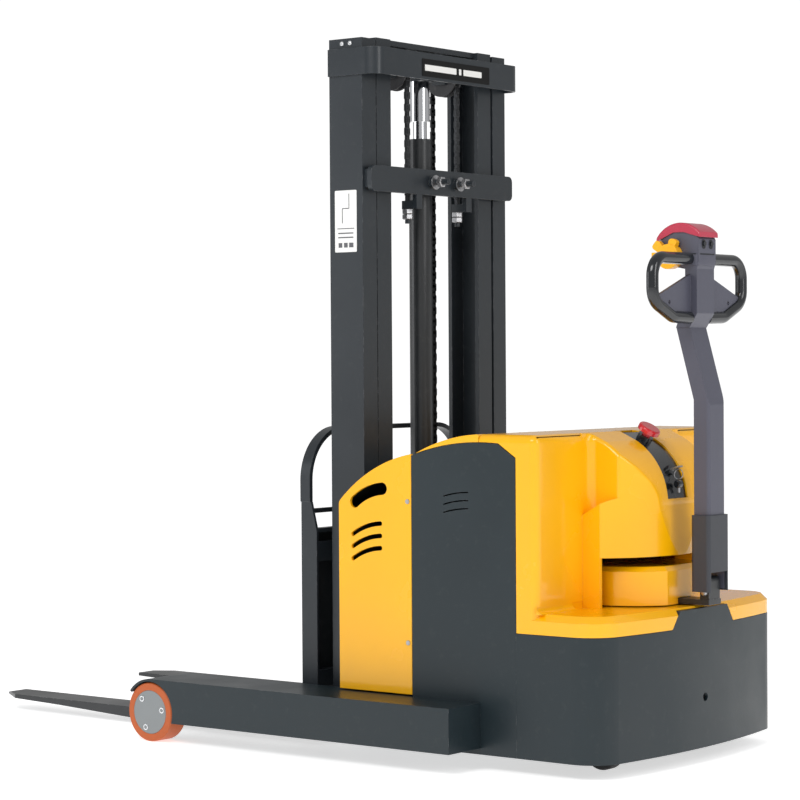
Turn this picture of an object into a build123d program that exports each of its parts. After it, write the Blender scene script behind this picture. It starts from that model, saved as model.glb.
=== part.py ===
from build123d import *
import math
import os

# Walkie stacker. Millimetres, +Z up, forks towards -Y, tiller towards +Y, left side +X.
# The origin is on the floor under the middle of the truck's bounding box.

# ---- lengths along the truck, from the fork tips to the back of the tiller ----
fork_reach = 813.0          # fork tips ahead of the load wheel axle
axle_to_mast = 433.6        # load wheel axle to the front of the mast
mast_depth = 108.6          # outer mast channel, front to back
panel_length = 232.0        # yellow panel beside the hydraulic bay
side_length = 316.0         # grey plate beside the battery bay
tail_length = 276.0         # end of the grey plate to the back of the skirt
tiller_overhang = 41.0      # tiller sleeve behind the skirt
seam = 1.5                  # visible gap between neighbouring covers

overall_length = (fork_reach + axle_to_mast + mast_depth + seam + panel_length
                  + seam + side_length + tail_length + tiller_overhang)
tip_y = -overall_length / 2
axle_y = tip_y + fork_reach
mast_front = axle_y + axle_to_mast
mast_rear = mast_front + mast_depth
mast_mid = (mast_front + mast_rear) / 2
panel_front = mast_rear + seam
panel_rear = panel_front + panel_length
side_front = panel_rear + seam
side_rear = side_front + side_length
skirt_apex = side_rear + tail_length
tiller_rear = skirt_apex + tiller_overhang

# ---- body ----
body_half = 423.0           # half width over the side plates
body_bottom = 38.3
plate = 8.0                 # side plates, panels and skirt
skirt_top = 341.0
deck_top = 391.0
hood_top = 822.0
hood_wall = 5.0
rear_bow = 43.0             # how far the back bows out between its corners
corner_r = 88.0
lid_seam_back = 109.5       # battery lid seam ahead of the grey plate's rear edge
back_wall = side_rear + 61.0
fit_gap = 0.3               # clearance between parts that only stand next to each other

# ---- legs and load wheels ----
load_wheel_r = 77.7
leg_outer = 553.7
leg_width = 170.0
leg_top = 165.0
leg_bottom = 53.5
leg_wall = 8.0
leg_tail = 985.7            # leg end behind the load wheel axle
fender_thick = 6.0
load_wheel_width = 60.0
load_pin_r = 12.5
run_clear = 0.05            # radial clearance of a shaft in its bore

# ---- mast ----
mast_half = 316.3
mast_top = 1836.0
mast_foot = 80.0
web = 8.0
flange = 12.0
flange_width = 57.6
channel_gap = 5.7
inner_top = mast_top + 5.0
inner_foot = mast_foot + 12.0
inner_width = 60.0
inner_set = 2.5             # inner channel set in from both faces of the outer one
lift_stroke = 1200.0
chain_x = 110.0
chain_pitch_r = 41.5
chain_width = 16.0
chain_thick = 10.0
sheave_z = inner_top - 75.0
sheave_r = chain_pitch_r + 7.5
sheave_pin_r = 10.0
barrel_r = 30.5
barrel_gap = 1.2            # clearance of the inner mast round the cylinder
gland_top = mast_top - 241.0
rod_r = 18.5
rod_top = gland_top + 47.0
bar_top = mast_top - 329.0
bar_bottom = bar_top - 67.0
bar_thick = 14.0
collar_top = mast_top - 26.0
collar_bottom = collar_top - 70.0
collar_thick = 6.0
collar_stand = 50.0

# ---- forks and carriage ----
fork_x = 288.0
fork_width = 100.0
fork_thick = 32.0
fork_top = 46.0
shank_front = mast_front - 84.6
shank_thick = 35.0
shank_top = 563.0
cheek_thick = 8.0
rest_top = 830.0
rest_bar = 12.0
rest_depth = 32.0
rest_r = 140.0

# ---- drive unit, tiller and controls ----
steer_y = side_rear + 67.0
drive_wheel_r = 115.0
drive_wheel_width = 70.0
table_z = 300.0
table_thick = 16.0
neck_r = 100.0
motor_r = 75.0
drum_r = 170.0
drum_bottom = 394.0
drum_top = 490.0
drum_back = steer_y + 150.0
lug_half = 26.0
nose_bottom = 515.0
nose_half = 190.0
pier_half = 224.0
pier_depth = 51.0
arm_half = 38.8
arm_depth = 43.0
sleeve_half = arm_half + 9.7
sleeve_wall = 5.0
sleeve_bottom = 428.0
sleeve_top = 617.0
arm_rear = tiller_rear - sleeve_wall
arm_front = arm_rear - arm_depth
pivot_y = arm_rear - 22.0
pivot_z = 452.0
pivot_r = 8.0
arm_bend_z = 890.0
arm_top = 1080.0
arm_lean = math.radians(17.0)
head_half = arm_half + 2.2
grip_y = arm_rear - 53.0
grip_z = 1250.0
grip_r = 15.0
grip_half = 226.0
axle_rod_r = 9.0
castor_x = 235.0
castor_y = steer_y + 30.0
castor_r = 50.0
castor_width = 36.0
castor_trail = 34.0


def slab(x0, x1, y0, y1, z0, z1, mode=Mode.ADD):
    """A box between two corners."""
    with Locations(((x0 + x1) / 2, (y0 + y1) / 2, (z0 + z1) / 2)):
        Box(abs(x1 - x0), abs(y1 - y0), abs(z1 - z0), mode=mode)


def bar_x(x0, x1, y, z, r, mode=Mode.ADD):
    """A round bar along X."""
    with Locations(Location(((x0 + x1) / 2, y, z), (0, 90, 0))):
        Cylinder(r, abs(x1 - x0), mode=mode)


def bar_y(x, y0, y1, z, r, mode=Mode.ADD):
    """A round bar along Y."""
    with Locations(Location((x, (y0 + y1) / 2, z), (90, 0, 0))):
        Cylinder(r, abs(y1 - y0), mode=mode)


def bar_z(x, y, z0, z1, r, mode=Mode.ADD):
    """A round bar along Z."""
    with Locations((x, y, (z0 + z1) / 2)):
        Cylinder(r, abs(z1 - z0), mode=mode)


def prism_x(points, x0, x1, mode=Mode.ADD):
    """A side outline of (y, z) points, extruded from x0 to x1."""
    with BuildSketch(Plane.YZ.offset(x0)) as side_view:
        with BuildLine():
            Polyline(*points, close=True)
        make_face()
    extrude(side_view.sketch, amount=x1 - x0, mode=mode)


def mirrored(piece):
    """The same piece for the other side of the truck."""
    with BuildPart() as other:
        mirror(piece.part, about=Plane.YZ)
    return other


def keep(piece, name):
    piece.part.label = name
    export_step(piece.part, f"parts/{name}.step")


os.makedirs("parts", exist_ok=True)

# ======================= legs and load wheels =======================
# Each leg is an inverted steel trough. Its front end is cut into an arch over the wheel,
# and the arch's rim runs on over the wheel as a short fender.
arch_r = leg_top - load_wheel_r
pocket_r = arch_r - fender_thick
leg_inner = leg_outer - leg_width
leg_end = axle_y + leg_tail
web_x = leg_outer - load_wheel_width - 8.0
fender_end = math.radians(37)

with BuildPart() as leg_left:
    with BuildSketch(Plane.YZ.offset(leg_inner)):
        with Locations(((axle_y + leg_end) / 2, (leg_bottom + leg_top) / 2)):
            Rectangle(leg_end - axle_y, leg_top - leg_bottom)
        with Locations((axle_y, load_wheel_r)):
            Circle(arch_r)
        with Locations((axle_y, leg_bottom - arch_r)):
            Rectangle(4 * arch_r, 2 * arch_r, mode=Mode.SUBTRACT)
    extrude(amount=leg_width)
    bar_x(web_x, leg_outer + 1, axle_y, load_wheel_r, pocket_r, Mode.SUBTRACT)
    prism_x([(axle_y - 2 * arch_r, 0),
             (axle_y - 2 * arch_r * math.cos(fender_end), load_wheel_r + 2 * arch_r * math.sin(fender_end)),
             (axle_y, load_wheel_r), (axle_y, 0)], web_x, leg_outer + 1, Mode.SUBTRACT)
    slab(leg_inner + leg_wall, leg_outer - leg_wall, axle_y + arch_r + 12, side_front - 2 * leg_wall,
         leg_bottom - 1, leg_top - leg_wall, Mode.SUBTRACT)
    slab(leg_inner - 1, body_half, side_front - leg_wall, leg_end + 1, 0, leg_top + 1, Mode.SUBTRACT)
    slab(body_half + leg_wall, leg_outer - leg_wall, side_front - 2 * leg_wall - 1, leg_end - leg_wall,
         leg_bottom - 1, leg_top - leg_wall, Mode.SUBTRACT)
    bar_x(web_x - 20, leg_outer - 8, axle_y, load_wheel_r, load_pin_r)
keep(leg_left, "leg_left")
leg_right = mirrored(leg_left)
keep(leg_right, "leg_right")

# A polyurethane tread on a steel core, with a zinc plate screwed over the hub.
hub_r = 57.5
cap_thick = 3.0
wheel_x1 = leg_outer - 2.0
wheel_x0 = wheel_x1 - load_wheel_width
cap_x0 = wheel_x1 - cap_thick
with BuildPart() as load_tyre_left:
    bar_x(wheel_x0, wheel_x1, axle_y, load_wheel_r, load_wheel_r)
    bar_x(wheel_x0 - 1, wheel_x1 + 1, axle_y, load_wheel_r, hub_r, Mode.SUBTRACT)
    chamfer(edges().filter_by(GeomType.CIRCLE).group_by(SortBy.RADIUS)[-1], 3)
with BuildPart() as load_hub_left:
    bar_x(wheel_x0, cap_x0, axle_y, load_wheel_r, hub_r)
    bar_x(wheel_x0 - 1, leg_outer, axle_y, load_wheel_r, load_pin_r + run_clear, Mode.SUBTRACT)
with BuildPart() as load_cap_left:
    bar_x(cap_x0, wheel_x1, axle_y, load_wheel_r, hub_r - 0.5)
    with BuildSketch(Plane.YZ.offset(wheel_x1)):
        with Locations((axle_y, load_wheel_r)):
            with PolarLocations(hub_r - 14, 3, start_angle=10):
                RegularPolygon(5.5, 6)
    extrude(amount=2)
for piece, name in ((load_tyre_left, "load_tyre"), (load_hub_left, "load_hub"), (load_cap_left, "load_cap")):
    keep(piece, name + "_left")
    keep(mirrored(piece), name + "_right")

# ======================= chassis frame =======================
# A welded frame: mast foot between the legs, front bulkhead and curved cover of the
# hydraulic bay, floor under the battery, and the table that carries the drive unit.
frame_half = body_half - plate
floor_z = 60.0
floor_thick = 12.0
bulkhead_top = 636.0
cover_fall = 12.0
bay_front = steer_y - 135.0


def body_outline(inset, front):
    """The body's plan: straight sides, a bowed back and round corners."""
    half = body_half - inset
    apex = skirt_apex - inset
    with BuildLine() as outline:
        Polyline((half, apex - rear_bow), (half, front), (-half, front), (-half, apex - rear_bow))
        ThreePointArc((-half, apex - rear_bow), (0, apex), (half, apex - rear_bow))
    make_face(outline.edges())
    fillet(vertices().group_by(Axis.Y)[-1], corner_r - inset)


panel_top_front = 645.0
panel_top_rear = 770.0
panel_bow = 24.0
with BuildPart() as chassis_frame:
    slab(-mast_half, mast_half, mast_front, mast_rear, mast_foot - 20, mast_foot)
    for side in (-1, 1):
        slab(side * mast_half, side * leg_inner, mast_front + 10, panel_front + 10, mast_foot - 20, leg_top - 12)
    slab(-leg_inner, leg_inner, mast_rear, side_front - plate, floor_z, floor_z + floor_thick)
    slab(-frame_half, frame_half, side_front - plate, bay_front, floor_z, floor_z + floor_thick)
    slab(-leg_inner, leg_inner, panel_front, panel_front + 6, floor_z, leg_top + 10)
    slab(-frame_half, frame_half, panel_front, panel_front + 6, leg_top + 4, bulkhead_top)
    with BuildSketch(Plane.YZ.offset(-frame_half)):
        with BuildLine():
            low = panel_front, bulkhead_top - 2
            high = panel_rear, panel_top_rear - cover_fall
            middle = ((low[0] + high[0]) / 2, (low[1] + high[1]) / 2 + panel_bow)
            ThreePointArc(low, middle, high)
            Line(high, (high[0], high[1] - 4))
            ThreePointArc((high[0], high[1] - 4), (middle[0], middle[1] - 4), (low[0], low[1] - 4))
            Line((low[0], low[1] - 4), low)
        make_face()
    extrude(amount=2 * frame_half)
    slab(-frame_half, frame_half, side_front, side_front + 6, floor_z, panel_top_rear - 40)
    slab(-frame_half, frame_half, bay_front - 6, bay_front, floor_z, table_z + table_thick)
    with BuildSketch(Plane.XY.offset(table_z)):
        body_outline(plate, bay_front - 6)
        with Locations((0, steer_y)):
            Circle(neck_r + 6, mode=Mode.SUBTRACT)
    extrude(amount=table_thick)
    for side in (-1, 1):
        bar_z(side * castor_x, castor_y, 160, table_z, 34)
        bar_z(side * castor_x, castor_y, 150, 200, 12 + run_clear, Mode.SUBTRACT)
keep(chassis_frame, "chassis_frame")

# ======================= side plates, panels and skirt =======================
# The grey side plate's top edge is one long arch that ends in a rounded rear corner.
plate_top_front = 766.0
plate_top_mid = 800.5
plate_corner = 765.0
louvre_height = 3.2


def plate_outline(grow):
    """Side view of the grey plate, grown by a clearance on its top and rear."""
    top = plate_top_mid + grow
    rear = side_rear + grow
    with BuildLine() as outline:
        Polyline((rear, plate_corner + grow), (rear, body_bottom), (side_front, body_bottom),
                 (side_front, plate_top_front + grow))
        ThreePointArc((side_front, plate_top_front + grow), (side_front + 105, top - 8), (rear - 72, top))
        Line((rear - 72, top), (rear - 52, top - 1))
        Line((rear - 52, top - 1), (rear, plate_corner + grow))
    make_face(outline.edges())


def side_slots(y0, z0, length, rise, pitch, height, count):
    """Cuts curved slots through a side plate."""
    for number in range(count):
        z = z0 - number * pitch
        middle = (y0 + length * 0.5, z + rise * 0.72)
        with BuildSketch(Plane.YZ.offset(body_half - plate - 1)) as slot:
            with BuildLine(mode=Mode.PRIVATE) as path:
                ThreePointArc((y0, z), middle, (y0 + length, z + rise))
            SlotArc(arc=path.edges()[0], height=height)
        extrude(slot.sketch, amount=plate + 2, mode=Mode.SUBTRACT)


with BuildPart() as side_plate_left:
    with BuildSketch(Plane.YZ.offset(body_half - plate)):
        plate_outline(0)
    extrude(amount=plate)
    side_slots(side_front + 100, 668, 74, 11, 20, louvre_height, 3)
keep(side_plate_left, "side_plate_left")
keep(mirrored(side_plate_left), "side_plate_right")

panel_bottom = leg_top + 4.0
with BuildPart() as mast_panel_left:
    with BuildSketch(Plane.YZ.offset(body_half - plate)):
        with BuildLine():
            front_top = panel_front, panel_top_front
            rear_top = panel_rear, panel_top_rear
            middle = ((front_top[0] + rear_top[0]) / 2, (front_top[1] + rear_top[1]) / 2 + panel_bow)
            Polyline(rear_top, (panel_rear, panel_bottom), (panel_front, panel_bottom), front_top)
            ThreePointArc(front_top, middle, rear_top)
        make_face()
        fillet(vertices().sort_by(Axis.X)[:2].sort_by(Axis.Y)[-1:], 16)
    extrude(amount=plate)
    side_slots(panel_front + 52, 646, 88, 35, 20, 31, 1)
    side_slots(panel_front + 46, 564, 88, 29, 31, 11.5, 3)
    with Locations(*[Location((body_half, panel_rear - 11, z), (0, 90, 0)) for z in (651, 298)]):
        Cylinder(3.2, 4 * plate, mode=Mode.SUBTRACT)
keep(mast_panel_left, "mast_panel_left")
keep(mirrored(mast_panel_left), "mast_panel_right")

with BuildPart() as panel_screws:
    for side in (-1, 1):
        for z in (651, 298):
            bar_x(side * (body_half - plate), side * body_half, panel_rear - 11, z, 3.2)
            bar_x(side * body_half, side * (body_half + 2), panel_rear - 11, z, 6)
keep(panel_screws, "panel_screws")

tab_half_top = 111.6
tab_half = 143.6
tab_top = 385.6
with BuildPart() as rear_skirt:
    with BuildSketch(Plane.XY.offset(body_bottom)):
        body_outline(0, side_rear)
    extrude(amount=tab_top - body_bottom)
    with BuildSketch(Plane.XY.offset(body_bottom - 1)):
        body_outline(plate, side_rear - 10)
    extrude(amount=tab_top - body_bottom + 2, mode=Mode.SUBTRACT)
    with BuildSketch(Plane.XZ.offset(-side_rear + 1)):
        with BuildLine():
            Polyline((body_half + 1, skirt_top), (tab_half, skirt_top), (tab_half_top, tab_top), (tab_half_top, tab_top + 5),
                     (body_half + 1, tab_top + 5), close=True)
        make_face()
        mirror(about=Plane.YZ)
    extrude(amount=-2 * tail_length, mode=Mode.SUBTRACT)
    with Locations(Location((0, skirt_apex, 164), (90, 0, 0))):
        Cylinder(11, 4 * plate, mode=Mode.SUBTRACT)
keep(rear_skirt, "rear_skirt")

# ======================= hood, battery lid and nose =======================
# The hood is one shell: deck with its rim, rear walls, piers beside the drive cover and
# the overhanging nose. The lid in front of it tips up on two knuckles.
lid_rear = side_rear - lid_seam_back
lid_front = side_front + 12.0
lid_front_z = 771.5
hood_front = lid_rear + seam
top_edge_r = 20.0
lid_pin_r = 2.5
knuckle_r = 5.0
lid_pin_y = lid_rear - knuckle_r
lid_pin_z = hood_top - knuckle_r
knuckle_x = 220.0
nose_apex = back_wall + 151.0
nose_kink_y = back_wall + 44.0
nose_kink_z = 800.0
nose_low_z = 651.0
nose_low_y = nose_apex - 19.0
shoulder_z = 620.0
shoulder_rise = 35.0
insert_half = 46.0
trough_deep = 9.0
insert_thick = 6.0
insert_deep = hood_wall + 0.1
estop_tilt = math.radians(32)
estop_r = 29.0
stem_r = 11.0


def nose_block(inset):
    """The nose: a round plan under a curved side profile, both inset by a wall thickness."""
    wide = pier_half - inset
    corner_y = back_wall + pier_depth - inset
    brow = (nose_kink_y - inset * 0.6, nose_kink_z - inset * 0.8)
    chin = (nose_apex - 13 - inset, nose_bottom + 125)
    with BuildPart() as block:
        with BuildSketch(Plane.XY.offset(nose_bottom - 1 if inset else nose_bottom)):
            with BuildLine():
                Polyline((wide, corner_y), (wide, back_wall - hood_wall), (-wide, back_wall - hood_wall),
                         (-wide, corner_y))
                ThreePointArc((-wide, corner_y), (0, nose_apex - inset), (wide, corner_y))
            make_face()
        extrude(amount=hood_top - nose_bottom)
        with BuildSketch(Plane.YZ.offset(-pier_half)):
            with BuildLine():
                Polyline(brow, (back_wall - 4, hood_top - inset), (back_wall - 60, hood_top - inset),
                         (back_wall - 60, nose_bottom - 2), (nose_apex - inset, nose_bottom - 2),
                         (nose_apex - inset, nose_bottom), chin)
                ThreePointArc(chin, (nose_apex - 42 - inset * 0.9, nose_bottom + 225 - inset * 0.4), brow)
            make_face()
        extrude(amount=2 * pier_half, mode=Mode.INTERSECT)
    return block.part


nose_edge_r = 10.0
cove_r = 16.0
ledge = [(back_wall + 0.01, shoulder_z), (back_wall + pier_depth + 12, shoulder_z + shoulder_rise),
         (nose_apex + 10, shoulder_z + shoulder_rise + 40), (nose_apex + 10, hood_top + 1),
         (back_wall + 0.01, hood_top + 1)]
ledge_in = [(y - hood_wall, z - hood_wall) for y, z in ledge]

with BuildPart() as nose:
    add(nose_block(0))
    for side in (-1, 1):
        prism_x(ledge, side * nose_half, side * (pier_half + 1), Mode.SUBTRACT)
    rim = [e for e in edges() if (e @ 0.5).Z > 660 and abs((e @ 0.5).X) > 20 and (e @ 0.5).Y > back_wall + 1]
    fillet(rim, nose_edge_r)

trough_start = nose_kink_y - 72
with BuildPart() as nose_cavity:
    add(nose_block(hood_wall))
    for side in (-1, 1):
        prism_x(ledge_in, side * (nose_half - hood_wall), side * (pier_half + 1), Mode.SUBTRACT)



def nose_line(deep, start):
    """The middle line of the roof and nose, a depth under the surface, from a start in the roof to the chin."""
    brow = (nose_kink_y - 0.6 * deep, nose_kink_z - 0.8 * deep)
    Polyline((start, hood_top - deep), (back_wall - 4, hood_top - deep), brow)
    ThreePointArc(brow, (nose_apex - 42 - 0.9 * deep, nose_bottom + 225 - 0.4 * deep),
                  (nose_apex - 13 - deep, nose_bottom + 125))


with BuildPart() as rear_hood:
    slab(-body_half, body_half, hood_front, back_wall, skirt_top + 1, hood_top)
    fillet(edges().filter_by(Axis.Y).group_by(Axis.Z)[-1], top_edge_r)
    fillet(edges().filter_by(Axis.X).group_by(Axis.Z)[-1].sort_by(Axis.Y)[-1], top_edge_r)
    add(nose.part)
    for side in (-1, 1):
        slab(side * (pier_half - 2 * hood_wall), side * pier_half, back_wall - 1, back_wall + pier_depth,
             deck_top - 1, nose_bottom)
    with BuildSketch(Plane.XY.offset(skirt_top + 1)):
        body_outline(0, side_rear + seam)
    extrude(amount=deck_top - skirt_top - 1)
    chamfer(edges().filter_by(GeomType.CIRCLE).filter_by_position(Axis.Z, deck_top - 1, deck_top + 1)
            .filter_by_position(Axis.Y, back_wall + 90, skirt_apex + 1), 16)
    for side in (-1, 1):
        with BuildSketch(Plane.YZ.offset(side * (pier_half - 1))) as cove:
            with BuildLine():
                Polyline((back_wall + cove_r, deck_top - 1), (back_wall - 1, deck_top - 1),
                         (back_wall - 1, deck_top + cove_r), (back_wall, deck_top + cove_r))
                RadiusArc((back_wall, deck_top + cove_r), (back_wall + cove_r, deck_top), -cove_r)
                Line((back_wall + cove_r, deck_top), (back_wall + cove_r, deck_top - 1))
            make_face()
        extrude(cove.sketch, amount=side * (body_half - pier_half + 1))
    fillet(edges().filter_by(Axis.Z).filter_by_position(Axis.Y, back_wall - 0.5, back_wall + 0.5)
           .filter_by_position(Axis.X, -nose_half - 1, nose_half + 1), 22)
    with BuildSketch(Plane.YZ.offset(-insert_half - fit_gap)) as trough:
        with BuildLine():
            nose_line(trough_deep, trough_start)
            Polyline((nose_apex - 13 - trough_deep, nose_bottom + 125), (nose_apex + 10, nose_bottom + 125),
                     (nose_apex + 10, hood_top + 20), (trough_start, hood_top + 20),
                     (trough_start, hood_top - trough_deep))
        make_face()
        with Locations((nose_apex, nose_low_z - 96)):
            Rectangle(200, 200, mode=Mode.SUBTRACT)
    extrude(trough.sketch, amount=2 * (insert_half + fit_gap), mode=Mode.SUBTRACT)
    slab(-frame_half + hood_wall, frame_half - hood_wall, hood_front - 1, back_wall - hood_wall,
         deck_top - hood_wall, hood_top - hood_wall, Mode.SUBTRACT)
    with BuildSketch(Plane.XY.offset(skirt_top)):
        body_outline(hood_wall + plate, hood_front - 1)
    extrude(amount=deck_top - hood_wall - skirt_top, mode=Mode.SUBTRACT)
    add(nose_cavity.part, mode=Mode.SUBTRACT)
    slab(-pier_half + 2 * hood_wall, pier_half - 2 * hood_wall, back_wall - 10, back_wall + 1,
         deck_top, nose_bottom + 5, Mode.SUBTRACT)
    for side in (-1, 1):
        with BuildSketch(Plane.YZ.offset(side * (frame_half - fit_gap))) as beside:
            plate_outline(seam)
        extrude(beside.sketch, amount=side * 2 * plate, mode=Mode.SUBTRACT)
    bar_z(0, steer_y, deck_top - 20, deck_top + 1, motor_r + 25, Mode.SUBTRACT)
    with BuildSketch(Plane.XZ.offset(-skirt_apex - 5)) as notch:
        Polygon((-tab_half - seam, skirt_top), (-tab_half_top - seam, tab_top + 0.5),
                (tab_half_top + seam, tab_top + 0.5), (tab_half + seam, skirt_top), align=None)
    extrude(notch.sketch, amount=45, mode=Mode.SUBTRACT)
    for side in (-1, 1):
        for lug in (-24, 16):
            x = side * knuckle_x + lug
            bar_x(x, x + 8, lid_pin_y, lid_pin_z, knuckle_r)
            slab(x, x + 8, lid_pin_y, hood_front + 8, lid_pin_z - knuckle_r, lid_pin_z + knuckle_r)
        bar_x(side * knuckle_x - 20, side * knuckle_x + 20, lid_pin_y, lid_pin_z, lid_pin_r)
keep(rear_hood, "rear_hood")

estop_base = (0, nose_kink_y - 6, nose_kink_z)
estop_axis = Plane(origin=estop_base, x_dir=(1, 0, 0), z_dir=(0, math.sin(estop_tilt), math.cos(estop_tilt)))
key_slope = math.radians(70.0)
key_centre = (0, nose_apex - 41, nose_bottom + 207)
key_axis = Plane(origin=key_centre, x_dir=(1, 0, 0), z_dir=(0, math.sin(key_slope), math.cos(key_slope)))
key_bore_r = 4.0

with BuildPart() as switch_panel:
    with BuildSketch(Plane.YZ.offset(-insert_half - 8)) as strip:
        with BuildLine():
            for deep in (insert_deep, insert_deep + insert_thick):
                nose_line(deep, trough_start - 8)
            Line((trough_start - 8, hood_top - insert_deep), (trough_start - 8, hood_top - insert_deep - insert_thick))
            Line((nose_apex - 13 - insert_deep, nose_bottom + 125),
                 (nose_apex - 13 - insert_deep - insert_thick, nose_bottom + 125))
        make_face()
    extrude(strip.sketch, amount=2 * (insert_half + 8))
    with Locations(estop_axis):
        Cylinder(stem_r + 9, 26)
        Cylinder(stem_r + run_clear, 70, mode=Mode.SUBTRACT)
    with Locations(key_axis):
        Cylinder(14, 22)
        Cylinder(key_bore_r + run_clear, 60, mode=Mode.SUBTRACT)
keep(switch_panel, "switch_panel")

with BuildPart() as estop_knob:
    with Locations(estop_axis):
        with Locations((0, 0, 8)):
            Cylinder(stem_r, 50)
        with Locations((0, 0, 24.5 + 7)):
            Cylinder(estop_r, 14)
    fillet(edges().filter_by(GeomType.CIRCLE).group_by(SortBy.RADIUS)[-1].sort_by(Axis.Z)[-1], 6)
keep(estop_knob, "estop_knob")

with BuildPart() as key:
    with Locations(key_axis):
        with Locations((0, 0, 2)):
            Cylinder(key_bore_r, 24)
        with Locations((0, 0, 11.5 + 13)):
            Box(22, 4, 26)
keep(key, "key")

with BuildPart() as battery_cover:
    with BuildSketch(Plane.YZ.offset(-body_half)):
        with BuildLine():
            Polyline((lid_rear, hood_top), (lid_rear, plate_top_front - 30), (lid_front, plate_top_front - 30),
                     (lid_front, lid_front_z))
            ThreePointArc((lid_front, lid_front_z), (lid_front + 86, lid_front_z + 33), (lid_rear, hood_top))
        make_face()
    extrude(amount=2 * body_half)
    fillet(edges().filter_by(Axis.X).group_by(Axis.Z)[-1], knuckle_r - 0.2)
    with BuildSketch(Plane.YZ.offset(-frame_half + hood_wall)):
        with BuildLine():
            Polyline((lid_rear - 2 * knuckle_r, hood_top - hood_wall), (lid_rear - 2 * knuckle_r, 0),
                     (lid_front + hood_wall, 0), (lid_front + hood_wall, lid_front_z - hood_wall))
            ThreePointArc((lid_front + hood_wall, lid_front_z - hood_wall),
                          (lid_front + 86, lid_front_z + 33 - hood_wall), (lid_rear - 2 * knuckle_r, hood_top - hood_wall))
        make_face()
    extrude(amount=2 * (frame_half - hood_wall), mode=Mode.SUBTRACT)
    for side in (-1, 1):
        with BuildSketch(Plane.YZ.offset(side * (frame_half - fit_gap))) as beside:
            plate_outline(seam)
        extrude(beside.sketch, amount=side * 2 * plate, mode=Mode.SUBTRACT)
        for lug in (-24, 16):
            x = side * knuckle_x + lug
            slab(x - 0.5, x + 8.5, lid_pin_y - knuckle_r - 1, lid_rear + 1, lid_pin_z - knuckle_r - 1, hood_top + 1,
                 Mode.SUBTRACT)
        bar_x(side * knuckle_x - 26, side * knuckle_x + 26, lid_pin_y, lid_pin_z, lid_pin_r + run_clear, Mode.SUBTRACT)
    slab(-body_half, body_half, lid_rear - 2 * knuckle_r - 1, lid_rear + 1, 0, hood_top - 30, Mode.SUBTRACT)
keep(battery_cover, "battery_cover")

# ======================= battery and hydraulic unit =======================
battery_half = 312.0
with BuildPart() as battery:
    slab(-battery_half, battery_half, side_front + 10, lid_rear - 8, floor_z + floor_thick, 690)
    fillet(edges().filter_by(Axis.Z), 8)
    for x in range(-5, 6, 2):
        bar_z(x * 26 * 2, side_front + 60, 690, 705, 18)
        bar_z(x * 26 * 2, side_front + 140, 690, 705, 18)
keep(battery, "battery")

with BuildPart() as hydraulic_unit:
    slab(-250, 60, panel_front + 30, panel_rear - 30, floor_z + floor_thick, 300)
    fillet(edges().filter_by(Axis.Z), 20)
    slab(-140, 40, panel_front + 60, panel_rear - 60, 300, 380)
    bar_z(-50, panel_front + panel_length / 2, 380, 560, 60)
    slab(110, 250, panel_front + 40, panel_rear - 60, floor_z + floor_thick, 220)
    slab(50, 120, panel_front + 60, panel_front + 110, 120, 170)
keep(hydraulic_unit, "hydraulic_unit")

# ======================= outer mast =======================
web_out = mast_half
with BuildPart() as outer_channel_left:
    slab(web_out - flange_width, web_out, mast_front, mast_rear, mast_foot, mast_top)
    slab(web_out - flange_width - 1, web_out - web, mast_front + flange, mast_rear - flange,
         mast_foot - 1, mast_top + 1, Mode.SUBTRACT)
keep(outer_channel_left, "outer_channel_left")
keep(mirrored(outer_channel_left), "outer_channel_right")

with BuildPart() as top_collar:
    for inset, change in ((0, Mode.ADD), (collar_thick, Mode.SUBTRACT)):
        back = mast_rear + collar_stand - inset
        with BuildSketch(Plane.XY.offset(collar_bottom - inset)):
            with Locations((0, (mast_front - inset + back) / 2)):
                Rectangle(2 * (mast_half + collar_thick - inset), back - mast_front + inset)
            fillet(vertices().group_by(Axis.Y)[-1], 36 - inset)
        extrude(amount=collar_top - collar_bottom + 2 * inset, mode=change)
keep(top_collar, "top_collar")

stud_x = 55.0
bar_front = mast_rear + 13.0
anchor_z = bar_bottom - 16.0
with BuildPart() as crossbar:
    slab(-mast_half + 4, mast_half - 4, bar_front, bar_front + bar_thick, bar_bottom, bar_top)
    fillet(edges().filter_by(Axis.Y), 16)
    for side in (-1, 1):
        slab(side * (mast_half - 50), side * (mast_half - 8), mast_rear, bar_front, bar_bottom + 10, bar_top - 10)
        bar_y(side * stud_x, mast_mid + 10, mast_rear + 84, (bar_bottom + bar_top) / 2, 8)
        bar_y(side * stud_x, bar_front + bar_thick, bar_front + bar_thick + 12, (bar_bottom + bar_top) / 2, 15)
        slab(side * (chain_x - 12), side * (chain_x + 12), mast_mid + chain_pitch_r - 10, bar_front + bar_thick,
             anchor_z - 22, anchor_z)
        slab(side * (chain_x - 12), side * (chain_x + 12), bar_front, bar_front + bar_thick, anchor_z - 1, bar_bottom + 1)
        bar_z(side * chain_x, mast_mid + chain_pitch_r, anchor_z - 60, anchor_z - 21, 7)
    slab(-stud_x - 14, stud_x + 14, mast_mid + barrel_r, mast_mid + barrel_r + 10, bar_bottom + 16, bar_top - 16)
keep(crossbar, "crossbar")

bore_r = barrel_r - 6.5
with BuildPart() as lift_cylinder:
    bar_z(0, mast_mid, mast_foot, gland_top, barrel_r)
    bar_z(0, mast_mid, mast_foot + 40, gland_top - 25, bore_r, Mode.SUBTRACT)
    bar_z(0, mast_mid, gland_top - 30, gland_top + 1, rod_r + run_clear, Mode.SUBTRACT)
keep(lift_cylinder, "lift_cylinder")

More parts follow.
